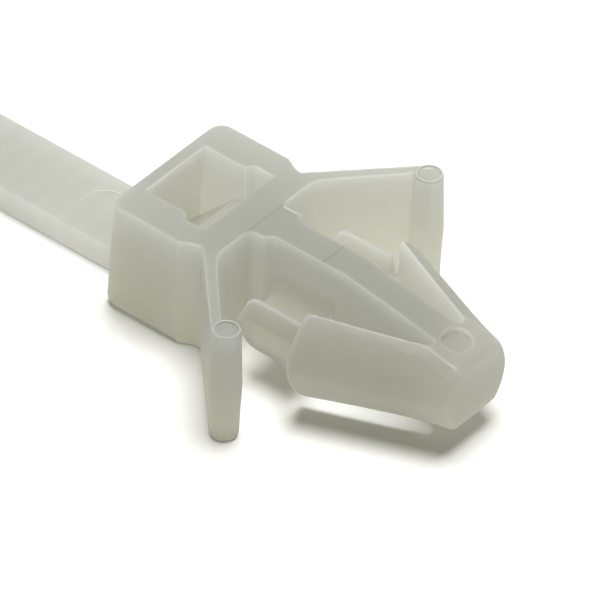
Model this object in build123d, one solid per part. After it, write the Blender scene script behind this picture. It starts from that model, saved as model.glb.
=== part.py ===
from build123d import *
from math import cos, radians, sin, tan
import os

# Cable tie with an arrowhead push mount, one moulding in natural nylon.
# Millimetres. +X points out of the arrowhead's tip, the strap leaves towards -X, +Z is up.
# Z = 0 is the mould's parting plane, and X = 0 is where the barbs' free ends catch a panel.

# Mould
UPPER = 2.75                # head, wings and blade above the parting plane
LOWER = 2.70                # the same below it
DRAFT = 2.0                 # degrees of draft on head, wings, beads, fins and slots
CENTRE_OVERLAP = 0.3        # how far a mirrored half reaches past the middle
CUT_REACH = 5.5             # how far a cut runs past the parting plane

# Head
HEAD_FRONT = -4.48          # front face, at the parting plane
HEAD_LENGTH = 5.62          # along X, at the parting plane
HEAD_WIDTH = 7.20           # across Y, at the parting plane
HEAD_BACK_LEAN = 4.2        # degrees that the back face leans out towards the strap
HEAD_CORNER = 0.65          # plan radius of the back corners
HEAD_UNDER_ROUND = 0.40     # rounding of the underside's edges
CHEEK_CHAMFER_X = 0.70      # the side faces turn in ahead of the wings, length
CHEEK_CHAMFER_Y = 0.36      # and depth
CHEEK_SETBACK = 1.05        # from the front face to the end of that turn
WALL_OVERLAP = 0.15         # how far the front wall reaches back into the head
INSERT_LINE = 0.05          # width and depth of the fine line between head and blade
INSERT_LINE_X = -1.02       # second fine line, across the blade near the barbs
LIP_LENGTH = 1.0            # slanting lip beside the blade's far root
LIP_WIDTH = 0.30
LIP_HEIGHT = 0.10

# Strap
STRAP_WIDTH = 3.6
STRAP_THICKNESS = 1.34
STRAP_LENGTH = 150.0        # from the head's back face to the tail's tip
STRAP_ROUND = 0.16          # rounding of the strap's upper long edges
NECK_LENGTH = 4.6           # plain stretch beside the head, without teeth
TOOTH_PITCH = 1.1
TOOTH_DEPTH = 0.42
TOOTH_BAND = 2.3            # width of the toothed band between the two rails
RAIL_OVER_TEETH = 0.06      # how far the rails stand over the tooth tips
PIN_MARK_RADIUS = 1.10      # ejector-pin mark on the strap
PIN_MARK_FROM_HEAD = 2.95
PIN_MARK_DEPTH = 0.05

# Tail
TAIL_LENGTH = 24.0
TAIL_TIP_WIDTH = 2.2
TAIL_THICKNESS = 0.95
TAIL_TIP_ROUND = 0.9
GRIP_PITCH = 1.6
GRIP_HEIGHT = 0.16
GRIP_WIDTH = 0.7
GRIP_MARGIN = 3.0           # plain stretch at each end of the tail

# Strap slot and pawl pocket in the head
SLOT_CLEARANCE_X = 0.22     # strap thickness to slot
SLOT_WIDTH = 4.5            # full width of the slot's front part
SLOT_WIDE_LENGTH = 0.99     # how far that full width reaches back
SLOT_STEP = 0.23            # length of the slanted step to the pocket's width
FRONT_WALL = 1.48           # from the head's front face to the slot
SLOT_ENTRY_CHAMFER = 0.35
POCKET_BACK_WALL = 0.55     # wall behind the pawl pocket, at the parting plane
POCKET_WIDTH = 3.76
PAWL_GAP = 0.13             # pawl to pocket wall, each side
PAWL_HINGE_Z = -1.05        # where the pawl's back leaves the pocket's back wall
PAWL_TIP_Z = 1.05           # top of the pawl's tip
PAWL_HINGE_THICKNESS = 0.85
PAWL_TEETH = 2
PAWL_TOOTH_DEPTH = 0.36
PAWL_RELIEF = 0.25          # gap under the pawl that lets it swing

# Wings
WING_FORWARD = 3.21         # from the head's front face to the bead's centre, along X
WING_REACH = 2.86           # from the head's side face to the bead's centre, across Y
BEAD_RADIUS = 0.70          # at the parting plane
BEAD_RIM = 0.06             # raised rim round the pin mark on top
BEAD_RIM_WIDTH = 0.09
BEAD_RIM_SETBACK = 0.02     # from the bead's top edge to the rim
BEAD_DISH = 0.05            # depth of the pin mark inside the rim
WING_UNDER_ROUND = 0.20     # rounding of the underside's edges on wings and beads
WING_ANGLE = 46.3           # degrees from the X axis
WING_ROOT_THICKNESS = 0.74  # at the parting plane
WING_TIP_THICKNESS = 0.62
WING_INNER_FILLET = 1.1
WING_OUTER_FILLET = 0.5

# Stem: an upright blade with two thin fins, each joined to it by a web on the parting plane
BLADE_THICKNESS = 1.42      # at the parting plane
BLADE_DRAFT = 0.5           # degrees
BLADE_SLOPE_X = 0.0         # where the blade's top starts to slope
BLADE_SLOPE = 9.8           # degrees
PAD_HALF_WIDTH = 1.12       # thicker root between the head and the blade
PAD_LENGTH = 0.70
PAD_ROOT_ROUND = 0.30
PAD_END_ROUND = 0.45
FIN_HALF_HEIGHT = 1.30
FIN_EDGE_Y = 2.95           # outer face at its upper and lower edges
FIN_BULGE_Y = 3.20          # outer face at its middle band, on the panel hole's circle
FIN_BAND = 0.32             # half height of that band
FIN_INNER_Y = 2.72          # inner face at the parting plane, leaning with the draft
FIN_CORNER_X = -2.93        # where the slanted start would meet the fin's top
FIN_NOSE_X = -3.37          # the start's foremost point, at the parting plane
FIN_CORNER_ROUND = 0.60
FIN_NOSE_ROUND = 0.30
WEB_HALF_THICKNESS = 0.30   # web between blade and fins
WEB_SETBACK = 0.20          # from the fins' foremost point to the web
WEB_FRONT_ROUND = 0.25
WEB_BLEND = 0.80            # hollow rounding from the web up to the blade
FIN_GAP = 0.30              # from the fin's end to the barbs' free ends

# Arrowhead
TIP_X = 6.57
CATCH_FLAT_Y = 1.20         # half width of the flat top at the free ends
CATCH_SHOULDER_Y = 3.10     # a point of the bulging side there
CATCH_SHOULDER_Z = 2.20
CATCH_BULGE_Y = 4.50        # half spread of the barbs at the parting plane
TIP_FLAT_Y = 1.28           # the same four sizes at the tip
TIP_SHOULDER_Y = 1.73
TIP_SHOULDER_Z = 0.80
TIP_BULGE_Y = 1.87
NOSE_ROUND = 0.45           # rounding of the tip's edges and the arrowhead's long edges
CATCH_ROUND = 0.25          # rounding of the free ends' outer edge
SLOT_MOUTH_Y = 3.05         # barb's inner wall at the free end
SLOT_WALL_ANGLE = 21.5      # degrees, barb's inner wall to the X axis
SLOT_END_X = 4.80
NOSE_MARK_X = 5.37
NOSE_MARK_RADIUS = 0.64
NOSE_MARK_DEPTH = 0.06      # at its tip side

# Worked out from the sizes above
HEAD_BACK = HEAD_FRONT - HEAD_LENGTH
CHEEK = HEAD_FRONT - CHEEK_SETBACK
SHOULDER = CHEEK - CHEEK_CHAMFER_X
BEAD_X = HEAD_FRONT + WING_FORWARD
BEAD_Y = HEAD_WIDTH / 2 + WING_REACH
STRAP_TOP = STRAP_THICKNESS - LOWER
SLOT_FRONT = HEAD_FRONT - FRONT_WALL
SLOT_BACK = SLOT_FRONT - STRAP_THICKNESS - SLOT_CLEARANCE_X
POCKET_BACK = HEAD_BACK + POCKET_BACK_WALL
STRAP_TIP = HEAD_BACK - STRAP_LENGTH
TAIL_START = STRAP_TIP + TAIL_LENGTH


def lean(height, angle):
    """Sideways travel of a face that leans by the angle over the height."""
    return height * tan(radians(angle))


def drafted(outline, height, angle):
    """An outline on the parting plane, raised with draft."""
    block = extrude(outline, height, taper=angle)
    return block if block.center().Z > 0 else mirror(block, about=Plane.XY)


def both_halves(outline, angle, up=UPPER, down=LOWER):
    """An outline on the parting plane, drawn both ways with draft."""
    return drafted(outline, up, angle) + mirror(drafted(outline, down, angle), about=Plane.XY)


def both_sides(part):
    """A part on the +Y side and its mirror image."""
    return part + mirror(part, about=Plane.XZ)


def slope_z(x):
    """Height of the blade's sloping top edge at x."""
    return UPPER - lean(x - BLADE_SLOPE_X, BLADE_SLOPE)


def head_section(z):
    """Plan outline of the head behind its front wall, at one height."""
    back = HEAD_BACK + lean(z, HEAD_BACK_LEAN)
    side = HEAD_WIDTH / 2 - lean(abs(z), DRAFT)
    outline = make_face(Polyline((back, -side), (SHOULDER, -side), (SHOULDER, side), (back, side), close=True))
    outline = fillet(outline.vertices().group_by(Axis.X)[0], HEAD_CORNER)
    return Pos(0, 0, z) * outline


def head_block():
    """Head without its slot: two drafted halves, with a back face that leans to the strap."""
    upper = loft([head_section(0), head_section(UPPER)], ruled=True)
    lower = loft([head_section(-LOWER), head_section(0)], ruled=True)
    block = upper + lower
    under = block.faces().sort_by(Axis.Z)[0].edges()
    return fillet([e for e in under if e.center().X < SHOULDER - WALL_OVERLAP], HEAD_UNDER_ROUND)


def wing_plan():
    """Plan outline of the front wall, one wing with its bead, and the pad at the blade's root."""
    along = Vector(cos(radians(WING_ANGLE)), sin(radians(WING_ANGLE)))
    across = Vector(along.Y, -along.X)
    tangent = Vector(BEAD_X, BEAD_Y) - across * BEAD_RADIUS
    side = HEAD_WIDTH / 2
    inside = side - CHEEK_CHAMFER_Y
    reach = (tangent.Y - inside) / along.Y + WING_ROOT_THICKNESS / 2
    root = tangent - along * reach
    web = make_face(Polyline(
        root,
        tangent,
        tangent + across * WING_TIP_THICKNESS,
        root + across * WING_ROOT_THICKNESS,
        close=True,
    ))
    bead = Pos(BEAD_X, BEAD_Y) * Circle(BEAD_RADIUS)
    pad_end = HEAD_FRONT + PAD_LENGTH
    wall = make_face(Polyline(
        (SHOULDER - WALL_OVERLAP, -CENTRE_OVERLAP),
        (SHOULDER - WALL_OVERLAP, side),
        (SHOULDER, side),
        (CHEEK, inside),
        (HEAD_FRONT, inside),
        (HEAD_FRONT, PAD_HALF_WIDTH),
        (pad_end, PAD_HALF_WIDTH),
        (pad_end + PAD_HALF_WIDTH, 0),
        (pad_end + PAD_HALF_WIDTH, -CENTRE_OVERLAP),
        close=True,
    ))
    plan = wall + web + bead
    for corner, radius in (
        ((HEAD_FRONT, inside + WING_ROOT_THICKNESS / 2), WING_INNER_FILLET),
        ((CHEEK, inside), WING_OUTER_FILLET),
        ((HEAD_FRONT, PAD_HALF_WIDTH), PAD_ROOT_ROUND),
        ((pad_end, PAD_HALF_WIDTH), PAD_END_ROUND),
    ):
        plan = fillet(plan.vertices().sort_by_distance(corner)[0], radius)
    return plan


def wing_frame():
    """Front wall with the two wings and their beads, rounded underneath."""
    frame = both_sides(both_halves(wing_plan(), DRAFT))
    under = frame.faces().sort_by(Axis.Z)[0].edges()
    beads = [e for e in under if abs(e.center().Y) > BEAD_Y - BEAD_RADIUS / 4]
    return fillet(beads, WING_UNDER_ROUND)


def bead_marks():
    """Raised rims on top of the beads, and the dished pin marks inside them."""
    radius = BEAD_RADIUS - lean(UPPER, DRAFT) - BEAD_RIM_SETBACK
    height = BEAD_RIM + BEAD_DISH
    dish = Cylinder(radius - BEAD_RIM_WIDTH, 2 * height, align=(Align.CENTER, Align.CENTER, Align.MIN))
    rim = Cylinder(radius, height, align=(Align.CENTER, Align.CENTER, Align.MIN))
    place = Pos(BEAD_X, BEAD_Y, UPPER - BEAD_DISH)
    return both_sides(place * rim), both_sides(place * dish)


def slot_cut():
    """Room for the strap, right through the head, with a chamfered entry underneath."""
    wide = SLOT_WIDTH / 2
    narrow = POCKET_WIDTH / 2
    step = SLOT_FRONT - SLOT_WIDE_LENGTH
    plan = make_face(Polyline(
        (SLOT_FRONT, -wide),
        (SLOT_FRONT, wide),
        (step, wide),
        (step - SLOT_STEP, narrow),
        (SLOT_BACK, narrow),
        (SLOT_BACK, -narrow),
        (step - SLOT_STEP, -narrow),
        (step, -wide),
        close=True,
    ))
    mouth = offset(plan, SLOT_ENTRY_CHAMFER, kind=Kind.INTERSECTION)
    entry = loft([Pos(0, 0, -LOWER) * mouth, Pos(0, 0, SLOT_ENTRY_CHAMFER - LOWER) * plan], ruled=True)
    return extrude(plan, CUT_REACH, both=True) + entry


def pocket_profile():
    """Side outline of the pawl pocket, open at the top and towards the slot."""
    step = Vector(SLOT_BACK - POCKET_BACK, PAWL_TIP_Z - PAWL_HINGE_Z).normalized()
    down = Vector(step.Y, -step.X)
    hinge = Vector(POCKET_BACK, PAWL_HINGE_Z)
    root = hinge + down * PAWL_HINGE_THICKNESS
    return hinge, root, step, down


def pocket_cut():
    """Pocket that the pawl stands in, with the gap under it that lets it swing."""
    hinge, root, step, down = pocket_profile()
    over = lean(CUT_REACH, HEAD_BACK_LEAN)
    floor = root + down * PAWL_RELIEF
    outline = make_face(Plane.XZ * Polyline(
        (POCKET_BACK + over, CUT_REACH),
        (POCKET_BACK, 0),
        hinge,
        root,
        floor,
        (SLOT_BACK, floor.Y - PAWL_RELIEF),
        (SLOT_FRONT - STRAP_THICKNESS / 2, floor.Y - PAWL_RELIEF),
        (SLOT_FRONT - STRAP_THICKNESS / 2, CUT_REACH),
        close=True,
    ))
    return extrude(outline, POCKET_WIDTH / 2, both=True)


def pawl():
    """Springy tongue hinged low on the back wall, with teeth towards the strap."""
    hinge, root, step, down = pocket_profile()
    face = SLOT_BACK + PAWL_TOOTH_DEPTH
    pitch = TOOTH_PITCH
    heel = PAWL_TIP_Z - PAWL_TEETH * pitch - PAWL_TOOTH_DEPTH
    outline = [hinge - step * POCKET_BACK_WALL / 2, (SLOT_BACK, PAWL_TIP_Z)]
    for tooth in range(PAWL_TEETH):
        top = PAWL_TIP_Z - tooth * pitch
        outline += [(face, top), (SLOT_BACK, top - pitch)]
    outline += [(SLOT_BACK - PAWL_TOOTH_DEPTH, heel), root, root - step * POCKET_BACK_WALL / 2]
    tongue = extrude(make_face(Plane.XZ * Polyline(*outline, close=True)), POCKET_WIDTH / 2 - PAWL_GAP, both=True)
    return tongue


def head():
    """Head and wings with the slot, the pocket and the pawl in it."""
    return head_block() + wing_frame() - slot_cut() - pocket_cut() + pawl()


def stem_envelope():
    """Side view of the stem: level along the head, then sloping to the tip, above and below."""
    start = HEAD_FRONT - FRONT_WALL
    tip = slope_z(TIP_X)
    outline = make_face(Plane.XZ * Polyline(
        (start, UPPER),
        (BLADE_SLOPE_X, UPPER),
        (TIP_X, tip),
        (TIP_X, UPPER - LOWER - tip),
        (BLADE_SLOPE_X, -LOWER),
        (start, -LOWER),
        close=True,
    ))
    return extrude(outline, CATCH_BULGE_Y, both=True)


def blade():
    """Upright blade from the head's front wall to the ends of the slots."""
    start = HEAD_FRONT - FRONT_WALL / 2
    end = SLOT_END_X + BLADE_THICKNESS / 4
    plan = Pos((start + end) / 2, 0) * Rectangle(end - start, BLADE_THICKNESS)
    return both_halves(plan, BLADE_DRAFT, UPPER, UPPER) & stem_envelope()


def fin_side():
    """Side outline of the fins, with a slanted start towards the head."""
    corner = (FIN_CORNER_X, FIN_HALF_HEIGHT)
    side = make_face(Plane.XZ * Polyline(
        corner,
        (-FIN_GAP, FIN_HALF_HEIGHT),
        (-FIN_GAP, -FIN_HALF_HEIGHT),
        (FIN_CORNER_X, -FIN_HALF_HEIGHT),
        (FIN_NOSE_X, 0),
        close=True,
    ))
    side = fillet(side.vertices().sort_by(Axis.X)[0], FIN_NOSE_ROUND)
    for z in (FIN_HALF_HEIGHT, -FIN_HALF_HEIGHT):
        side = fillet(side.vertices().sort_by_distance((FIN_CORNER_X, 0, z))[0], FIN_CORNER_ROUND)
    return side


def fin_front():
    """Outline of the fins seen along the stem."""
    half = [
        (FIN_EDGE_Y, FIN_HALF_HEIGHT),
        (FIN_BULGE_Y, FIN_BAND),
        (FIN_BULGE_Y, -FIN_BAND),
        (FIN_EDGE_Y, -FIN_HALF_HEIGHT),
    ]
    other = [(-y, z) for y, z in reversed(half)]
    return make_face(Plane.YZ * Polyline(*half, *other, close=True))


def fins():
    """The two thin fins that centre the stem in the panel's hole."""
    block = extrude(fin_side(), FIN_BULGE_Y, both=True) & extrude(fin_front(), -FIN_NOSE_X, both=True)
    room = Pos(FIN_NOSE_X, 0) * Rectangle(-2 * FIN_NOSE_X, 2 * FIN_INNER_Y)
    return block - both_halves(room, -DRAFT, UPPER, UPPER)


def fin_web():
    """Flat web on the parting plane that carries both fins, round at its front."""
    start = FIN_NOSE_X + WEB_SETBACK
    side = make_face(Plane.XZ * Polyline(
        (start, WEB_HALF_THICKNESS),
        (-FIN_GAP, WEB_HALF_THICKNESS),
        (-FIN_GAP, -WEB_HALF_THICKNESS),
        (start, -WEB_HALF_THICKNESS),
        close=True,
    ))
    side = fillet(side.vertices().group_by(Axis.X)[0], WEB_FRONT_ROUND)
    return extrude(side, (FIN_INNER_Y + FIN_BULGE_Y) / 2, both=True)


def web_junction(cross):
    """Edges where the web meets the blade's sides."""
    found = []
    for edge in cross.edges():
        middle = edge.center()
        beside_blade = BLADE_THICKNESS / 4 < abs(middle.Y) < BLADE_THICKNESS
        level = abs(middle.Z) < 2 * WEB_HALF_THICKNESS
        if beside_blade and level and FIN_NOSE_X < middle.X < -FIN_GAP - WEB_FRONT_ROUND:
            found.append(edge)
    return found


def stem():
    """Blade with the web blended into its sides and the fins along the web's edges."""
    cross = blade() + fin_web()
    cross = fillet(web_junction(cross), WEB_BLEND)
    return cross + fins()


def barrel_section(x, flat, shoulder, bulge):
    """Cross-section of the arrowhead: flat top and bottom, bulging sides."""
    top = slope_z(x)
    low = top - UPPER + LOWER
    y, z = shoulder
    below = -z * low / top
    outline = (
        Line((-flat, top), (flat, top))
        + ThreePointArc((flat, top), (y, z), (bulge, 0))
        + ThreePointArc((bulge, 0), (y, below), (flat, -low))
        + Line((flat, -low), (-flat, -low))
        + ThreePointArc((-flat, -low), (-y, below), (-bulge, 0))
        + ThreePointArc((-bulge, 0), (-y, z), (-flat, top))
    )
    return Pos(x, 0, 0) * make_face(Plane.YZ * outline)


def barb_slot():
    """Slot between the blade and one barb, round at its end, cored from above and below."""
    inner = BLADE_THICKNESS / 2
    mouth = SLOT_MOUTH_Y - lean(UPPER, DRAFT)
    angle = radians(SLOT_WALL_ANGLE)
    radius = (mouth - SLOT_END_X * tan(angle) - inner) / (1 + 1 / cos(angle) - tan(angle))
    centre = Vector(SLOT_END_X - radius, inner + radius)
    start = -TIP_X / 2
    plan = make_face(Polyline(
        (start, inner),
        (centre.X, inner),
        centre + Vector(sin(angle), cos(angle)) * radius,
        (start, mouth - start * tan(angle)),
        close=True,
    )) + Pos(centre.X, centre.Y) * Circle(radius)
    return both_halves(plan, -DRAFT, UPPER, UPPER)


def arrowhead():
    """Nose with two barbs swept back from it."""
    wide = barrel_section(0, CATCH_FLAT_Y, (CATCH_SHOULDER_Y, CATCH_SHOULDER_Z), CATCH_BULGE_Y)
    narrow = barrel_section(TIP_X, TIP_FLAT_Y, (TIP_SHOULDER_Y, TIP_SHOULDER_Z), TIP_BULGE_Y)
    body = loft([wide, narrow], ruled=True)
    crests = [e for e in body.edges() if e.length > TIP_X / 2 and abs(e.center().Z) < CATCH_ROUND]
    body = fillet(crests, NOSE_ROUND)
    body = fillet(body.faces().sort_by(Axis.X)[-1].edges(), NOSE_ROUND)
    body = fillet(body.faces().sort_by(Axis.X)[0].edges(), CATCH_ROUND)
    return body - both_sides(barb_slot())


def nose_mark():
    """Level pin mark cut into the sloping top of the nose."""
    floor = slope_z(NOSE_MARK_X + NOSE_MARK_RADIUS) - NOSE_MARK_DEPTH
    return Pos(NOSE_MARK_X, 0, floor) * Cylinder(NOSE_MARK_RADIUS, UPPER, align=(Align.CENTER, Align.CENTER, Align.MIN))


def tooth_room(start, end):
    """What the strap's underside leaves open round the saw teeth, between the two rails."""
    root = TOOTH_DEPTH - LOWER + RAIL_OVER_TEETH
    crest = RAIL_OVER_TEETH - LOWER
    points = [(start, root)]
    for tooth in range(int((start - end) / TOOTH_PITCH)):
        x = start - tooth * TOOTH_PITCH
        points += [(x, crest), (x - TOOTH_PITCH, root)]
    points += [(end, root), (end, -CUT_REACH), (start, -CUT_REACH)]
    outline = make_face(Plane.XZ * Polyline(*points, close=True))
    return extrude(outline, TOOTH_BAND / 2, both=True)


def strap():
    """Strap with two plain rails and a toothed band between them underneath."""
    inside = HEAD_BACK + POCKET_BACK_WALL
    middle = (inside + TAIL_START) / 2
    level = STRAP_TOP - STRAP_THICKNESS / 2
    bar = Pos(middle, 0, level) * Box(inside - TAIL_START, STRAP_WIDTH, STRAP_THICKNESS)
    upper = [e for e in bar.edges().filter_by(Axis.X) if e.center().Z > level]
    bar = fillet(upper, STRAP_ROUND)
    return bar - tooth_room(HEAD_BACK - NECK_LENGTH, TAIL_START)


def tail():
    """Thinner tapering tail with grip ridges on its top."""
    half = STRAP_WIDTH / 2
    tip = TAIL_TIP_WIDTH / 2
    plan = make_face(Polyline((TAIL_START, -half), (TAIL_START, half), (STRAP_TIP, tip), (STRAP_TIP, -tip), close=True))
    plan = fillet(plan.vertices().group_by(Axis.X)[0], TAIL_TIP_ROUND)
    blank = Pos(0, 0, -LOWER) * extrude(plan, TAIL_THICKNESS)
    count = int((TAIL_LENGTH - 2 * GRIP_MARGIN) / GRIP_PITCH) + 1
    top = TAIL_THICKNESS - LOWER
    ridges = Part()
    for ridge in range(count):
        x = TAIL_START - GRIP_MARGIN - ridge * GRIP_PITCH
        ridges += Pos(x, 0, top) * Box(GRIP_WIDTH, STRAP_WIDTH, 2 * GRIP_HEIGHT)
    reach = Pos(0, 0, -LOWER) * extrude(plan, STRAP_THICKNESS)
    return blank + (ridges & reach)


def strap_mark():
    """Faint round pin mark on the strap beside the head."""
    x = HEAD_BACK - PIN_MARK_FROM_HEAD
    return Pos(x, 0, STRAP_TOP - PIN_MARK_DEPTH) * Cylinder(
        PIN_MARK_RADIUS, PIN_MARK_DEPTH * 2, align=(Align.CENTER, Align.CENTER, Align.MIN))


def insert_lines():
    """Fine lines across the blade's top, where the mould's inserts meet."""
    lines = Part()
    for x in (HEAD_FRONT - lean(UPPER, DRAFT), INSERT_LINE_X):
        lines += Pos(x, 0, UPPER) * Box(INSERT_LINE, BLADE_THICKNESS, 2 * INSERT_LINE)
    return lines


def lip():
    """Slanting lip on the pad beside the blade's far root."""
    y = BLADE_THICKNESS / 2
    outline = make_face(Plane.YZ * Polyline(
        (y, UPPER),
        (y + LIP_WIDTH, UPPER + LIP_HEIGHT),
        (y + LIP_WIDTH, UPPER - LIP_HEIGHT),
        (y, UPPER - LIP_HEIGHT),
        close=True,
    ))
    return Pos(HEAD_FRONT + LIP_LENGTH / 2, 0, 0) * extrude(outline, LIP_LENGTH / 2, both=True)


def cable_tie():
    """The whole moulding."""
    rims, dishes = bead_marks()
    body = head() + stem() + arrowhead() + strap() + tail() + rims + lip()
    return body - dishes - nose_mark() - strap_mark() - insert_lines()


os.makedirs("parts", exist_ok=True)
tie = cable_tie()
print("solids", len(tie.solids()), "volume", round(tie.volume, 2), "box", tie.bounding_box())
export_step(tie, "parts/cable_tie.step")
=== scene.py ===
# %% [markdown]
# # Push mount cable tie in natural nylon
# The object is one moulding: a cable tie whose head carries a stem with an arrowhead and two
# sprung wings. The arrowhead is pushed into a round hole in a panel, and the strap ties wires.
# This lesson dresses the measured model: soft moulded edges on the head, a strap with teeth and
# grip ridges made with Geometry Nodes, and a milky nylon that light soaks into.

# %% Load the measured model
import math

import bmesh
import bpy
import numpy as np
from mathutils import Matrix, Vector


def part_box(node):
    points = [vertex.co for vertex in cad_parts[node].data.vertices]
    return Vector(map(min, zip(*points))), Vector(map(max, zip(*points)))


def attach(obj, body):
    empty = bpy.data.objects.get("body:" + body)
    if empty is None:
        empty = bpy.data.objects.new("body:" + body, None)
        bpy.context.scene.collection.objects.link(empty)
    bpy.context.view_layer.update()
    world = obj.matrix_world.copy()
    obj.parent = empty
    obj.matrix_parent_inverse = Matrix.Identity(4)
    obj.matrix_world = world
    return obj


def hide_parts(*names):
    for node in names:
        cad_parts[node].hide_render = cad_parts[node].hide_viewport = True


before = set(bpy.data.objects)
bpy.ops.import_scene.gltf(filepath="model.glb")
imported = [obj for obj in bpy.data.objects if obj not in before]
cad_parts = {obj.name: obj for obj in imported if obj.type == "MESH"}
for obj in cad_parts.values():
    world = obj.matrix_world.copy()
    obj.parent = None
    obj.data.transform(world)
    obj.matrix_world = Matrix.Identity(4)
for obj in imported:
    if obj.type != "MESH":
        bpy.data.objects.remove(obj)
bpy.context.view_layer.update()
low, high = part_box("cable_tie")
MM = 0.001
print("model spans", [round((b - a) / MM, 2) for a, b in zip(low, high)], "mm")

# %% [markdown]
# ## Camera
# The picture was taken with a long lens from in front of the arrowhead, looking down by about
# forty degrees. The camera is set by its turn, its height and its roll round a target, so each
# number means one thing. Tracking a target object would also work, but it gives no roll.


# %% A camera from angles
def place_camera(turn, height, roll, distance, lens, target):
    a, e, r = (math.radians(v) for v in (turn, height, roll))
    back = Vector((math.sin(a) * math.cos(e), -math.cos(a) * math.cos(e), math.sin(e)))
    level = Vector((math.cos(a), math.sin(a), 0))
    upright = back.cross(level)
    right = math.cos(r) * level + math.sin(r) * upright
    up = math.cos(r) * upright - math.sin(r) * level
    data = bpy.data.cameras.new("camera")
    data.lens = lens
    data.clip_start = 0.01
    camera = bpy.data.objects.new("camera", data)
    matrix = Matrix((right, up, back)).transposed().to_4x4()
    matrix.translation = Vector(target) + back * distance
    camera.matrix_world = matrix
    bpy.context.scene.collection.objects.link(camera)
    bpy.context.scene.camera = camera
    return camera


camera = place_camera(
    turn=38.136,
    height=40.467,
    roll=1.895,
    distance=0.3563,
    lens=527.8,
    target=(-0.0022374, -0.0005535, 0),
)
print("camera stands at", [round(c, 3) for c in camera.location])

# %% [markdown]
# ## Floor and light
# The tie lies on a plain white sheet that is lit until it shows pure white. The main light is a
# wide softbox almost overhead, a little towards the far side, so the shadows are short and have
# soft rims. A lower light would throw long shadows that the picture lacks. A weak second softbox
# stands on the far side and lifts the faces that look that way. The room adds a little warm
# light. The hollows of the moulding are pale mainly because light passes through the nylon.


# %% Floor
def plain_material(name, colour, roughness):
    material = bpy.data.materials.new(name)
    material.use_nodes = True
    shader = material.node_tree.nodes["Principled BSDF"]
    shader.inputs["Base Color"].default_value = (*colour, 1)
    shader.inputs["Roughness"].default_value = roughness
    return material


FLOOR_REACH = 1.5
FLOOR_GAP = 0.01 * MM
CORNERS = ((-1, -1), (1, -1), (1, 1), (-1, 1))
PAPER_COLOUR = (0.82, 0.82, 0.81)
PAPER_ROUGHNESS = 0.9

sheet = bpy.data.meshes.new("floor")
level = low.z - FLOOR_GAP
corners = [(x * FLOOR_REACH, y * FLOOR_REACH, level) for x, y in CORNERS]
sheet.from_pydata(corners, [], [(0, 1, 2, 3)])
sheet.materials.append(plain_material("white paper", PAPER_COLOUR, PAPER_ROUGHNESS))
floor = bpy.data.objects.new("floor", sheet)
bpy.context.scene.collection.objects.link(floor)
print("floor at", round(level / MM, 2), "mm")


# %% Lights that point at the origin
def area_light(name, place, size, power):
    data = bpy.data.lights.new(name, "AREA")
    data.shape = "DISK"
    data.size = size
    data.energy = power
    lamp = bpy.data.objects.new(name, data)
    lamp.location = place
    lamp.rotation_euler = (-Vector(place)).to_track_quat("-Z", "Y").to_euler()
    bpy.context.scene.collection.objects.link(lamp)


area_light("overhead softbox", place=(-0.02, 0.11, 0.9), size=0.55, power=11.3)
area_light("far side softbox", place=(-0.50, 0.55, 0.50), size=0.50, power=0.8)

# %% The room's own light
ROOM_COLOUR = (1.0, 0.94, 0.74)
ROOM_STRENGTH = 0.22

world = bpy.data.worlds.new("room")
world.use_nodes = True
background = world.node_tree.nodes["Background"]
background.inputs["Color"].default_value = (*ROOM_COLOUR, 1)
background.inputs["Strength"].default_value = ROOM_STRENGTH
bpy.context.scene.world = world
bpy.context.scene.view_settings.view_transform = "Standard"

# %% [markdown]
# ## Node trees by script
# The nylon and the repeated shapes both need trees of nodes. They could be built by hand in the
# editor, but a script shows every value. The helpers below only save typing: one call adds a
# node, sets its values and joins its inputs. An input is named with a line in place of a space,
# or i0, i1 and so on for its number, and a list joins several sockets to one input.


# %% Helpers for every node tree
def set_inputs(tree, node, inputs):
    for key, value in inputs.items():
        numbered = key[0] == "i" and key[1:].isdigit()
        socket = node.inputs[int(key[1:]) if numbered else key.replace("_", " ")]
        for part in value if isinstance(value, list) else [value]:
            if isinstance(part, bpy.types.NodeSocket):
                tree.links.new(part, socket)
            else:
                socket.default_value = part


def add_node(tree, kind, settings=None, out=0, **inputs):
    node = tree.nodes.new(kind)
    for key, value in (settings or {}).items():
        setattr(node, key, value)
    set_inputs(tree, node, inputs)
    return node.outputs[out]


def maths(tree, operation, *values):
    inputs = {f"i{number}": value for number, value in enumerate(values)}
    return add_node(tree, "ShaderNodeMath", {"operation": operation}, **inputs)


def scaled(tree, vector, share):
    settings = {"operation": "SCALE"}
    return add_node(tree, "ShaderNodeVectorMath", settings, i0=vector, Scale=share)


# %% [markdown]
# ## Natural nylon
# Undyed nylon is milky: light goes in, wanders, and comes out near by or on the other side.
# Subsurface scattering over about two millimetres does the first, and mixing in a translucent
# shader does the second. A plain matte shader would look like painted resin, and a clear one
# like glass. The colour comes from the Object coordinates and carries painted light: warmer low
# down, painted for light that has passed through more material, greyish on top, and a painted
# shade that darkens it towards the nose and the near wing. Bulging edges get painted light that
# makes them paler, by a value that the mesh carries. The strap has faint bands of painted shade
# where its teeth show through from below.

# %% Nylon values
TOOTH_PITCH = 1.1 * MM
LIGHT_PATH = 2.2 * MM
SHORT_PATH = 0.03 * MM
THROUGH_COLOUR = (0.91, 0.92, 0.90)
# Painted shade: the colour and the light through the nylon darken towards the nose and the near
# wing.
SHADE_DRIFT_WAY = (0.8, -0.6, 0)
SHADE_DRIFT_REACH = 5 * MM
SURFACE_SHADE_TONE = 0.83
THROUGH_SHADE_TONE = 0.89
CLOUD_SCALE = 180
CLOUD_DETAIL = 3
CLOUD_SHARE = 0.2
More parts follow.
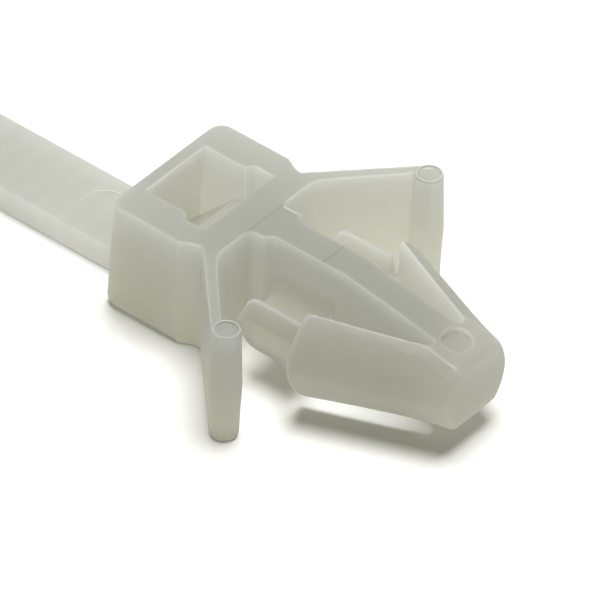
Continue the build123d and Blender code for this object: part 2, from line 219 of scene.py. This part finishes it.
# Painted light: bulging edges are mixed towards a paler colour.
EDGE_START = 1.0
EDGE_FULL = 4.0
EDGE_LIGHT_SHARE = 0.4
EDGE_LIGHT_COLOUR = (0.86, 0.87, 0.84)
SURFACE = {
    "Roughness": 0.4,
    "Transmission Weight": 0.35,
    "IOR": 1.53,
    "Subsurface Weight": 1.0,
    "Subsurface Radius": (1.0, 0.97, 0.8),
}


# %% Painted light from low to high
def painted_light_by_height(tree, height, low_colour, high_colour):
    rise = add_node(tree, "ShaderNodeMapRange", Value=height, From_Min=low.z, From_Max=high.z)
    ramp = add_node(tree, "ShaderNodeValToRGB", out="Color", Fac=rise)
    ends = ramp.node.color_ramp.elements
    ends[0].color = (*low_colour, 1)
    ends[1].color = (*high_colour, 1)
    return ramp


# %% Painted shade that darkens towards the nose and the near wing
def painted_shade_drift(tree, place, colour, shaded_tone):
    settings = {"operation": "DOT_PRODUCT"}
    along = add_node(
        tree, "ShaderNodeVectorMath", settings, out="Value", i0=place, i1=SHADE_DRIFT_WAY
    )
    tone = add_node(
        tree,
        "ShaderNodeMapRange",
        Value=along,
        From_Min=-SHADE_DRIFT_REACH,
        From_Max=SHADE_DRIFT_REACH,
        To_Min=1.0,
        To_Max=shaded_tone,
    )
    return scaled(tree, colour, tone)


# %% Painted shade in bands at the pitch of the teeth, and faint clouds
def painted_tooth_shade(tree, along, colour, band):
    turns = maths(tree, "MULTIPLY", along, 2 * math.pi / TOOTH_PITCH)
    stripe = maths(tree, "MULTIPLY_ADD", maths(tree, "SINE", turns), band, 1.0)
    return scaled(tree, colour, stripe)


def clouded(tree, place, colour):
    cloud = add_node(
        tree, "ShaderNodeTexNoise", Vector=place, Scale=CLOUD_SCALE, Detail=CLOUD_DETAIL
    )
    settings = {"data_type": "RGBA", "blend_type": "SOFT_LIGHT"}
    return add_node(
        tree, "ShaderNodeMix", settings, "Result", Factor=CLOUD_SHARE, A=colour, B=cloud
    )


# %% Painted light on the edges
def painted_edge_light(tree, colour):
    bulge = add_node(tree, "ShaderNodeAttribute", {"attribute_name": "edge"}, out="Fac")
    share = add_node(
        tree,
        "ShaderNodeMapRange",
        Value=bulge,
        From_Min=EDGE_START,
        From_Max=EDGE_FULL,
        To_Max=EDGE_LIGHT_SHARE,
    )
    settings = {"data_type": "RGBA"}
    pale = (*EDGE_LIGHT_COLOUR, 1)
    return add_node(tree, "ShaderNodeMix", settings, "Result", Factor=share, A=colour, B=pale)


# %% Nylon material
def nylon(name, low_colour, high_colour, through_share=0.6, band=0.0, path=LIGHT_PATH):
    material = bpy.data.materials.new(name)
    material.use_nodes = True
    tree = material.node_tree
    place = add_node(tree, "ShaderNodeTexCoord", out="Object")
    parts = add_node(tree, "ShaderNodeSeparateXYZ", i0=place).node.outputs
    colour = painted_light_by_height(tree, parts["Z"], low_colour, high_colour)
    colour = painted_shade_drift(tree, place, colour, SURFACE_SHADE_TONE)
    colour = painted_tooth_shade(tree, parts["X"], colour, band)
    colour = painted_edge_light(tree, clouded(tree, place, colour))
    shader = tree.nodes["Principled BSDF"]
    set_inputs(tree, shader, {**SURFACE, "Base Color": colour, "Subsurface Scale": path})
    through_colour = painted_shade_drift(tree, place, THROUGH_COLOUR, THROUGH_SHADE_TONE)
    through = add_node(tree, "ShaderNodeBsdfTranslucent", Color=through_colour)
    surface = shader.outputs["BSDF"]
    blend = add_node(tree, "ShaderNodeMixShader", i0=through_share, i1=surface, i2=through)
    tree.links.new(blend, tree.nodes["Material Output"].inputs["Surface"])
    return material


# %% [markdown]
# The same function makes four kinds of nylon. A rim thinner than the path of the light would
# lose its light and look grey, so thin edges get a much shorter path and are less translucent,
# and their pale colour is a painted highlight.
# The grooves get a dark colour, because little light comes back out of them.

# %% Four kinds of nylon
# Painted highlight: the pale colour of the thin rims and the glint wire.
HIGHLIGHT_COLOUR = (0.74, 0.75, 0.72)
GROOVE_COLOUR = (0.34, 0.35, 0.31)

# The low and high colours paint light by height: on the head and stem the low one is warmer and
# paler.
natural_nylon = nylon("natural nylon", (0.75, 0.70, 0.54), (0.43, 0.45, 0.425))
# The strap's band value paints faint shade where its teeth show through.
strap_nylon = nylon(
    "natural nylon strap", (0.60, 0.60, 0.57), (0.64, 0.65, 0.64), band=0.04
)
highlight_nylon = nylon(
    "painted highlight nylon", HIGHLIGHT_COLOUR, HIGHLIGHT_COLOUR, through_share=0.2, path=SHORT_PATH
)
groove_nylon = nylon("natural nylon groove", GROOVE_COLOUR, GROOVE_COLOUR, through_share=0.3)
kinds = (natural_nylon, strap_nylon, highlight_nylon, groove_nylon)
print("materials ready:", [material.name for material in kinds])

# %% [markdown]
# ## Head, wings and stem
# The measured model has knife-sharp edges, which no mould leaves. Bevelling hundreds of short
# edges would tear the mesh, so a copy is remeshed into small even cells and smoothed a little:
# every edge then gets the same soft rounding. The strap is cut off here and made on its own.

# %% Copy of the model in front of the strap
HEAD_BACK = -10.4 * MM
MERGE_DISTANCE = 1e-6


def solid_copy(node, name):
    tool = bmesh.new()
    tool.from_mesh(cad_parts[node].data)
    bmesh.ops.remove_doubles(tool, verts=tool.verts, dist=MERGE_DISTANCE)
    mesh = bpy.data.meshes.new(name)
    tool.to_mesh(mesh)
    tool.free()
    return mesh


def keep_beyond(mesh, x):
    tool = bmesh.new()
    tool.from_mesh(mesh)
    everything = tool.verts[:] + tool.edges[:] + tool.faces[:]
    plane = {"plane_co": (x, 0, 0), "plane_no": (1, 0, 0)}
    bmesh.ops.bisect_plane(tool, geom=everything, clear_inner=True, **plane)
    bmesh.ops.holes_fill(tool, edges=[e for e in tool.edges if e.is_boundary], sides=0)
    tool.to_mesh(mesh)
    tool.free()


body_mesh = solid_copy("cable_tie", "head_and_stem")
keep_beyond(body_mesh, HEAD_BACK)
head_and_stem = bpy.data.objects.new("head_and_stem", body_mesh)
bpy.context.scene.collection.objects.link(head_and_stem)
print("copy has", len(body_mesh.polygons), "faces")

# %% Soft moulded edges
CELL = 0.045 * MM
SMOOTHING = 0.5
SMOOTHING_ROUNDS = 3


def apply_modifiers(piece):
    evaluated = piece.evaluated_get(bpy.context.evaluated_depsgraph_get())
    mesh = bpy.data.meshes.new_from_object(evaluated)
    piece.modifiers.clear()
    piece.data = mesh
    return mesh


def triangles(mesh):
    return sum(len(p.vertices) - 2 for p in mesh.polygons)


cells = head_and_stem.modifiers.new("cells", "REMESH")
cells.mode = "VOXEL"
cells.voxel_size = CELL
soften = head_and_stem.modifiers.new("soften", "SMOOTH")
soften.factor = SMOOTHING
soften.iterations = SMOOTHING_ROUNDS
body_mesh = apply_modifiers(head_and_stem)
print("even cells:", triangles(body_mesh), "triangles")

# %% [markdown]
# ## Where the moulding bulges
# On natural nylon the rounded edges look paler than the flats, because light crosses a thin edge
# easily; here that light is painted into the colour. The renderer's own Pointiness could find
# the edges, but it turns blotchy on uneven triangles. So the bulge of each point is measured
# here, on
# the even cells: how much the normals of neighbouring points turn for each millimetre between
# them. The value stays on the mesh when the flat areas, which need few triangles, are thinned
# out afterwards.

# %% How sharply each spot bulges
EVENING_ROUNDS = 3


def neighbours(a, b, value, count):
    return np.bincount(a, value[b], count) + np.bincount(b, value[a], count)


def mark_edges(mesh):
    count = len(mesh.vertices)
    spots = np.empty(count * 3)
    mesh.vertices.foreach_get("co", spots)
    spots = spots.reshape(-1, 3)
    normals = np.empty(count * 3)
    mesh.vertex_normals.foreach_get("vector", normals)
    normals = normals.reshape(-1, 3)
    ends = np.empty(len(mesh.edges) * 2, dtype=np.int32)
    mesh.edges.foreach_get("vertices", ends)
    a, b = ends.reshape(-1, 2).T
    step = (spots[b] - spots[a]) / MM
    turn = normals[b] - normals[a]
    bulge = (step * turn).sum(1) / (step * step).sum(1)
    number = np.bincount(a, minlength=count) + np.bincount(b, minlength=count)
    value = (np.bincount(a, bulge, count) + np.bincount(b, bulge, count)) / number
    for _ in range(EVENING_ROUNDS):
        value = (value + neighbours(a, b, value, count) / number) / 2
    mesh.attributes.new("edge", "FLOAT", "POINT").data.foreach_set("value", value)
    return value


sharpest = float(np.quantile(mark_edges(body_mesh), 0.99))
print("bulge at the sharpest hundredth:", round(sharpest, 2), "per mm")

# %% Thin out the flat areas
BODY_TRIANGLES = 180000

thin = head_and_stem.modifiers.new("thin", "DECIMATE")
thin.ratio = min(1, BODY_TRIANGLES / triangles(body_mesh))
body_mesh = apply_modifiers(head_and_stem)
body_mesh.shade_smooth()
body_mesh.materials.clear()
body_mesh.materials.append(natural_nylon)
print("head and stem:", triangles(body_mesh), "triangles")

# %% [markdown]
# ## Geometry Nodes by script
# Teeth, ridges and rims repeat by a rule, so Geometry Nodes make them. A tree built in the
# script has named inputs for its sizes. It ends by turning instances into real mesh and giving
# it a material, and the finished mesh then takes the modifier's place.


# %% A small class for these trees
class Tree:
    def __init__(self, name, sizes):
        self.group = bpy.data.node_groups.new(name, "GeometryNodeTree")
        self.sizes = sizes
        interface = self.group.interface
        interface.new_socket("Geometry", in_out="OUTPUT", socket_type="NodeSocketGeometry")
        for label, value in sizes.items():
            kind = "NodeSocketInt" if isinstance(value, int) else "NodeSocketFloat"
            interface.new_socket(label, in_out="INPUT", socket_type=kind)
        self.inputs = self.group.nodes.new("NodeGroupInput")

    def size(self, label):
        return self.inputs.outputs[label]

    def node(self, kind, settings=None, out=0, **inputs):
        return add_node(self.group, kind, settings, out, **inputs)

    def maths(self, operation, a, b):
        return maths(self.group, operation, a, b)

    def times(self, value, factor):
        return self.maths("MULTIPLY", value, factor)

    def vector(self, x=0.0, y=0.0, z=0.0):
        return self.node("ShaderNodeCombineXYZ", i0=x, i1=y, i2=z)

    def position(self):
        place = self.node("GeometryNodeInputPosition")
        return self.node("ShaderNodeSeparateXYZ", i0=place).node.outputs

    def finish(self, geometry, material):
        real = self.node("GeometryNodeRealizeInstances", Geometry=geometry)
        painted = self.node("GeometryNodeSetMaterial", Geometry=real, Material=material)
        output = self.group.nodes.new("NodeGroupOutput")
        self.group.links.new(painted, output.inputs[0])

    def make(self, name):
        piece = bpy.data.objects.new(name, bpy.data.meshes.new(name))
        bpy.context.scene.collection.objects.link(piece)
        modifier = piece.modifiers.new("shape", "NODES")
        modifier.node_group = self.group
        for item in self.group.interface.items_tree:
            if item.in_out == "INPUT":
                modifier[item.identifier] = self.sizes[item.name]
        apply_modifiers(piece)
        return piece


# %% [markdown]
# ## Strap with its teeth
# On the real tie the strap's underside has saw teeth between two plain rails, and the pawl in
# the head clicks over them. The mould prints the gaps, so the tree does the same: one slanting
# cutter is repeated along a line and taken out of a plain bar. Gluing wedges on would also work,
# but it leaves walls inside the strap that milky nylon would show.

# %% Strap sizes
STRAP_TOP = -1.36 * MM
STRAP_START = -10.15 * MM
TAIL_START = -136.1 * MM
STRAP = {
    "Bottom": low.z,
    "Thickness": STRAP_TOP - low.z,
    "Width": 3.6 * MM,
    "Edge Round": 0.10 * MM,
    "Start": STRAP_START,
    "Length": STRAP_START - TAIL_START,
    "Tooth Start": -14.7 * MM,
    "Tooth Pitch": TOOTH_PITCH,
    "Tooth Count": 110,
    "Tooth Depth": 0.42 * MM,
    "Tooth Land": 0.08 * MM,
    "Rail Lift": 0.06 * MM,
    "Tooth Band": 2.3 * MM,
    "Mark X": -13.05 * MM,
    "Mark Radius": 1.1 * MM,
    "Mark Depth": 0.05 * MM,
    "Tail Thickness": 0.95 * MM,
    "Tail Start": TAIL_START,
    "Tail Length": 24.0 * MM,
    "Tail Tip Width": 2.2 * MM,
    "Tail Tip Round": 0.9 * MM,
    "Ridge Margin": 3.0 * MM,
    "Ridge Pitch": 1.6 * MM,
    "Ridge Count": 12,
    "Ridge Width": 0.7 * MM,
    "Ridge Height": 0.16 * MM,
}
EDGE_STEPS = 4
TIP_STEPS = 6
MARK_SIDES = 48
RIDGE_FIT = 0.985
print("strap from", round(STRAP_START / MM, 2), "mm to its tail at", round(TAIL_START / MM, 2))


# %% Plain bar with rounded long edges
def plain_bar(t):
    middle = t.maths("ADD", t.size("Bottom"), t.times(t.size("Thickness"), 0.5))
    end = t.maths("SUBTRACT", t.size("Start"), t.size("Length"))
    section = t.node(
        "GeometryNodeCurvePrimitiveQuadrilateral",
        Width=t.size("Width"),
        Height=t.size("Thickness"),
    )
    section = t.node(
        "GeometryNodeFilletCurve",
        {"mode": "POLY"},
        Curve=section,
        Count=EDGE_STEPS,
        Radius=t.size("Edge Round"),
    )
    path = t.node(
        "GeometryNodeCurvePrimitiveLine",
        Start=t.vector(t.size("Start"), 0.0, middle),
        End=t.vector(end, 0.0, middle),
    )
    return t.node(
        "GeometryNodeCurveToMesh", Curve=path, Profile_Curve=section, Fill_Caps=True
    )


# %% One slanting cutter
def tooth_cutter(t):
    depth = t.size("Tooth Depth")
    reach = t.maths("SUBTRACT", t.size("Tooth Pitch"), t.size("Tooth Land"))
    block = t.vector(reach, t.size("Tooth Band"), t.times(depth, 2.0))
    corner = t.position()
    front = t.maths("GREATER_THAN", corner["X"], 0.0)
    upper = t.maths("GREATER_THAN", corner["Z"], 0.0)
    return t.node(
        "GeometryNodeSetPosition",
        Geometry=t.node("GeometryNodeMeshCube", Size=block),
        Selection=t.times(front, upper),
        Offset=t.vector(0.0, 0.0, t.times(depth, -1.0)),
    )


# %% The cutter repeated along the strap
def row_along(t, count, first, z, pitch):
    return t.node(
        "GeometryNodeMeshLine",
        Count=count,
        Start_Location=t.vector(first, 0.0, z),
        Offset=t.vector(t.times(pitch, -1.0)),
    )


def tooth_gaps(t):
    pitch = t.size("Tooth Pitch")
    x = t.maths("SUBTRACT", t.size("Tooth Start"), t.times(pitch, 0.5))
    z = t.maths("ADD", t.size("Bottom"), t.size("Rail Lift"))
    row = row_along(t, t.size("Tooth Count"), x, z, pitch)
    return t.node("GeometryNodeInstanceOnPoints", Points=row, Instance=tooth_cutter(t))


# %% Round pin mark beside the head
def pin_mark(t):
    disk = t.node(
        "GeometryNodeMeshCylinder",
        Vertices=MARK_SIDES,
        Radius=t.size("Mark Radius"),
        Depth=t.times(t.size("Mark Depth"), 2.0),
    )
    top = t.maths("ADD", t.size("Bottom"), t.size("Thickness"))
    place = t.vector(t.size("Mark X"), 0.0, top)
    return t.node("GeometryNodeTransform", Geometry=disk, Translation=place)


# %% [markdown]
# ## Tail with grip ridges
# The thinner tail is what fingers and pliers hold. It could be modelled by hand, but then every
# change of size would mean a new drawing. Here a flat plan is rounded at the tip and raised, and
# ridges stand across it. They get narrower towards the tip, so each one takes its width from its
# place along the tail.


# %% Flat plan of the tail
def tail_plan(t):
    plan = t.node(
        "GeometryNodeCurvePrimitiveQuadrilateral",
        {"mode": "TRAPEZOID"},
        Height=t.size("Tail Length"),
        Bottom_Width=t.size("Width"),
        Top_Width=t.size("Tail Tip Width"),
        Offset=0.0,
    )
    at_tip = t.maths("GREATER_THAN", t.position()["Y"], 0.0)
    plan = t.node(
        "GeometryNodeFilletCurve",
        {"mode": "POLY"},
        Curve=plan,
        Count=TIP_STEPS,
        Radius=t.times(t.size("Tail Tip Round"), at_tip),
    )
    return t.node("GeometryNodeFillCurve", {"mode": "NGONS"}, Curve=plan)


# %% Tapering tail
def tail_blank(t):
    plan = tail_plan(t)
    raised = t.node("GeometryNodeExtrudeMesh", Mesh=plan, Offset_Scale=t.size("Tail Thickness"))
    under = t.node("GeometryNodeFlipFaces", Mesh=plan)
    closed = t.node(
        "GeometryNodeMergeByDistance",
        Geometry=t.node("GeometryNodeJoinGeometry", Geometry=[raised, under]),
        Distance=MERGE_DISTANCE,
    )
    middle = t.maths("SUBTRACT", t.size("Tail Start"), t.times(t.size("Tail Length"), 0.5))
    return t.node(
        "GeometryNodeTransform",
        Geometry=closed,
        Rotation=(0, 0, math.radians(90)),
        Translation=t.vector(middle, 0.0, t.size("Bottom")),
    )


# %% Ridges that narrow with the tail
def grip_ridges(t):
    top = t.maths("ADD", t.size("Bottom"), t.size("Tail Thickness"))
    first = t.maths("SUBTRACT", t.size("Tail Start"), t.size("Ridge Margin"))
    row = row_along(t, t.size("Ridge Count"), first, top, t.size("Ridge Pitch"))
    block = t.vector(t.size("Ridge Width"), 1.0, t.times(t.size("Ridge Height"), 2.0))
    ridge = t.node("GeometryNodeMeshCube", Size=block)
    from_start = t.maths("SUBTRACT", t.size("Tail Start"), t.position()["X"])
    along = t.maths("DIVIDE", from_start, t.size("Tail Length"))
    narrowing = t.maths("SUBTRACT", t.size("Tail Tip Width"), t.size("Width"))
    width = t.maths("ADD", t.size("Width"), t.times(narrowing, along))
    return t.node(
        "GeometryNodeInstanceOnPoints",
        Points=row,
        Instance=ridge,
        Scale=t.vector(1.0, t.times(width, RIDGE_FIT), 1.0),
    )


# %% The strap in one piece
def boolean(t, operation, **inputs):
    settings = {"operation": operation, "solver": "EXACT"}
    return t.node("GeometryNodeMeshBoolean", settings, **inputs)


def strap_tree():
    t = Tree("strap with teeth", STRAP)
    cuts = t.node("GeometryNodeJoinGeometry", Geometry=[tooth_gaps(t), pin_mark(t)])
    cuts = t.node("GeometryNodeRealizeInstances", Geometry=cuts)
    bar = boolean(t, "DIFFERENCE", i0=plain_bar(t), i1=cuts)
    ridges = t.node("GeometryNodeRealizeInstances", Geometry=grip_ridges(t))
    t.finish(boolean(t, "UNION", i1=[bar, tail_blank(t), ridges]), strap_nylon)
    return t


SMOOTH_ANGLE = math.radians(30)

strap = strap_tree().make("strap")
strap.data.set_sharp_from_angle(angle=SMOOTH_ANGLE)
strap_size = [round(v / MM, 2) for v in strap.dimensions]
print("strap:", triangles(strap.data), "triangles, size", strap_size)

# %% [markdown]
# ## Rims on the beads
# Round each ejector pin the mould leaves a thin raised rim, which catches the light as a fine
# ring, and its pale nylon paints that highlight in. The remeshed body is too coarse for it, and
# finer cells would cost many triangles. So each rim is a small profile swept round a circle, and
# one instance of it sits on each bead.

# %% Rim sizes
RIMS = {
    "Radius": 0.535 * MM,
    "Wire": 0.045 * MM,
    "Bead X": -1.27 * MM,
    "Bead Y": 6.46 * MM,
    "Height": 2.785 * MM,
}
RIM_STEPS = 64
RIM_SIDES = 10
print("rims are", round(2 * RIMS["Radius"] / MM, 2), "mm across")


# %% Rim tree
def circle(t, steps, label):
    return t.node("GeometryNodeCurvePrimitiveCircle", Resolution=steps, Radius=t.size(label))


def rim_tree():
    t = Tree("pin mark rims", RIMS)
    ring = circle(t, RIM_STEPS, "Radius")
    wire = circle(t, RIM_SIDES, "Wire")
    rim = t.node("GeometryNodeCurveToMesh", Curve=ring, Profile_Curve=wire)
    opposite = t.times(t.size("Bead Y"), -1.0)
    pair = t.node(
        "GeometryNodeMeshLine",
        {"mode": "END_POINTS"},
        Count=2,
        Start_Location=t.vector(t.size("Bead X"), t.size("Bead Y"), t.size("Height")),
        Offset=t.vector(t.size("Bead X"), opposite, t.size("Height")),
    )
    t.finish(t.node("GeometryNodeInstanceOnPoints", Points=pair, Instance=rim), highlight_nylon)
    return t


rims = rim_tree().make("bead_rims")
rims.data.shade_smooth()
print("rims:", triangles(rims.data), "triangles")

# %% [markdown]
# ## Hairlines of the mould
# Two inserts of the mould meet across the top of the blade, and each joint prints a line finer
# than the remeshed cells. Beside the blade's far root a pale third wire is a painted glint: the
# narrow strip there shines. A bump in the material could draw them, but it would be missing from
# the exported mesh. So each is a wire along a straight line, and one function builds a tree for
# each of the three from its ends and thickness.

# %% Hairline sizes in millimetres
HAIRLINE_SIDES = 8
JOINT_RADIUS = 0.022
JOINT_HEIGHT = 2.745
GLINT_RADIUS = 0.06
GLINT_HEIGHT = 2.775


# %% Hairline tree
def hairline(name, start, end, radius, material):
    sizes = {"Radius": radius * MM}
    for which, point in (("Start", start), ("End", end)):
        for axis, value in zip("XYZ", point):
            sizes[f"{which} {axis}"] = value * MM
    t = Tree(name, sizes)
    start, end = (
        t.vector(*(t.size(f"{which} {axis}") for axis in "XYZ")) for which in ("Start", "End")
    )
    line = t.node("GeometryNodeCurvePrimitiveLine", Start=start, End=end)
    wire = circle(t, HAIRLINE_SIDES, "Radius")
    swept = t.node("GeometryNodeCurveToMesh", Curve=line, Profile_Curve=wire, Fill_Caps=True)
    t.finish(swept, material)
    return t.make(name)


def joint_across(name, x, half_width):
    ends = [(x, side * half_width, JOINT_HEIGHT) for side in (-1, 1)]
    return hairline(name, *ends, JOINT_RADIUS, groove_nylon)


joint = joint_across("blade_joint", -1.02, 0.68)
root_joint = joint_across("root_joint", -4.55, 1.05)
# Painted glint: a pale wire on the lip beside the blade's far root.
glint_ends = [(x, 0.93, GLINT_HEIGHT) for x in (-4.40, -3.60)]
painted_glint = hairline("painted_root_glint", *glint_ends, GLINT_RADIUS, highlight_nylon)
print("hairlines:", [triangles(o.data) for o in (joint, root_joint, painted_glint)], "triangles")

# %% [markdown]
# ## One moulding again
# All pieces belong to the one moulding, so each takes the measured model's place, carries its
# material slot and rides on its body. Joining them into one mesh would also do, but pieces on
# their own are easier to change.

# %% Pieces ride on the model
for piece in (head_and_stem, strap, rims, joint, root_joint, painted_glint):
    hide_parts("cable_tie")
    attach(piece, "root")
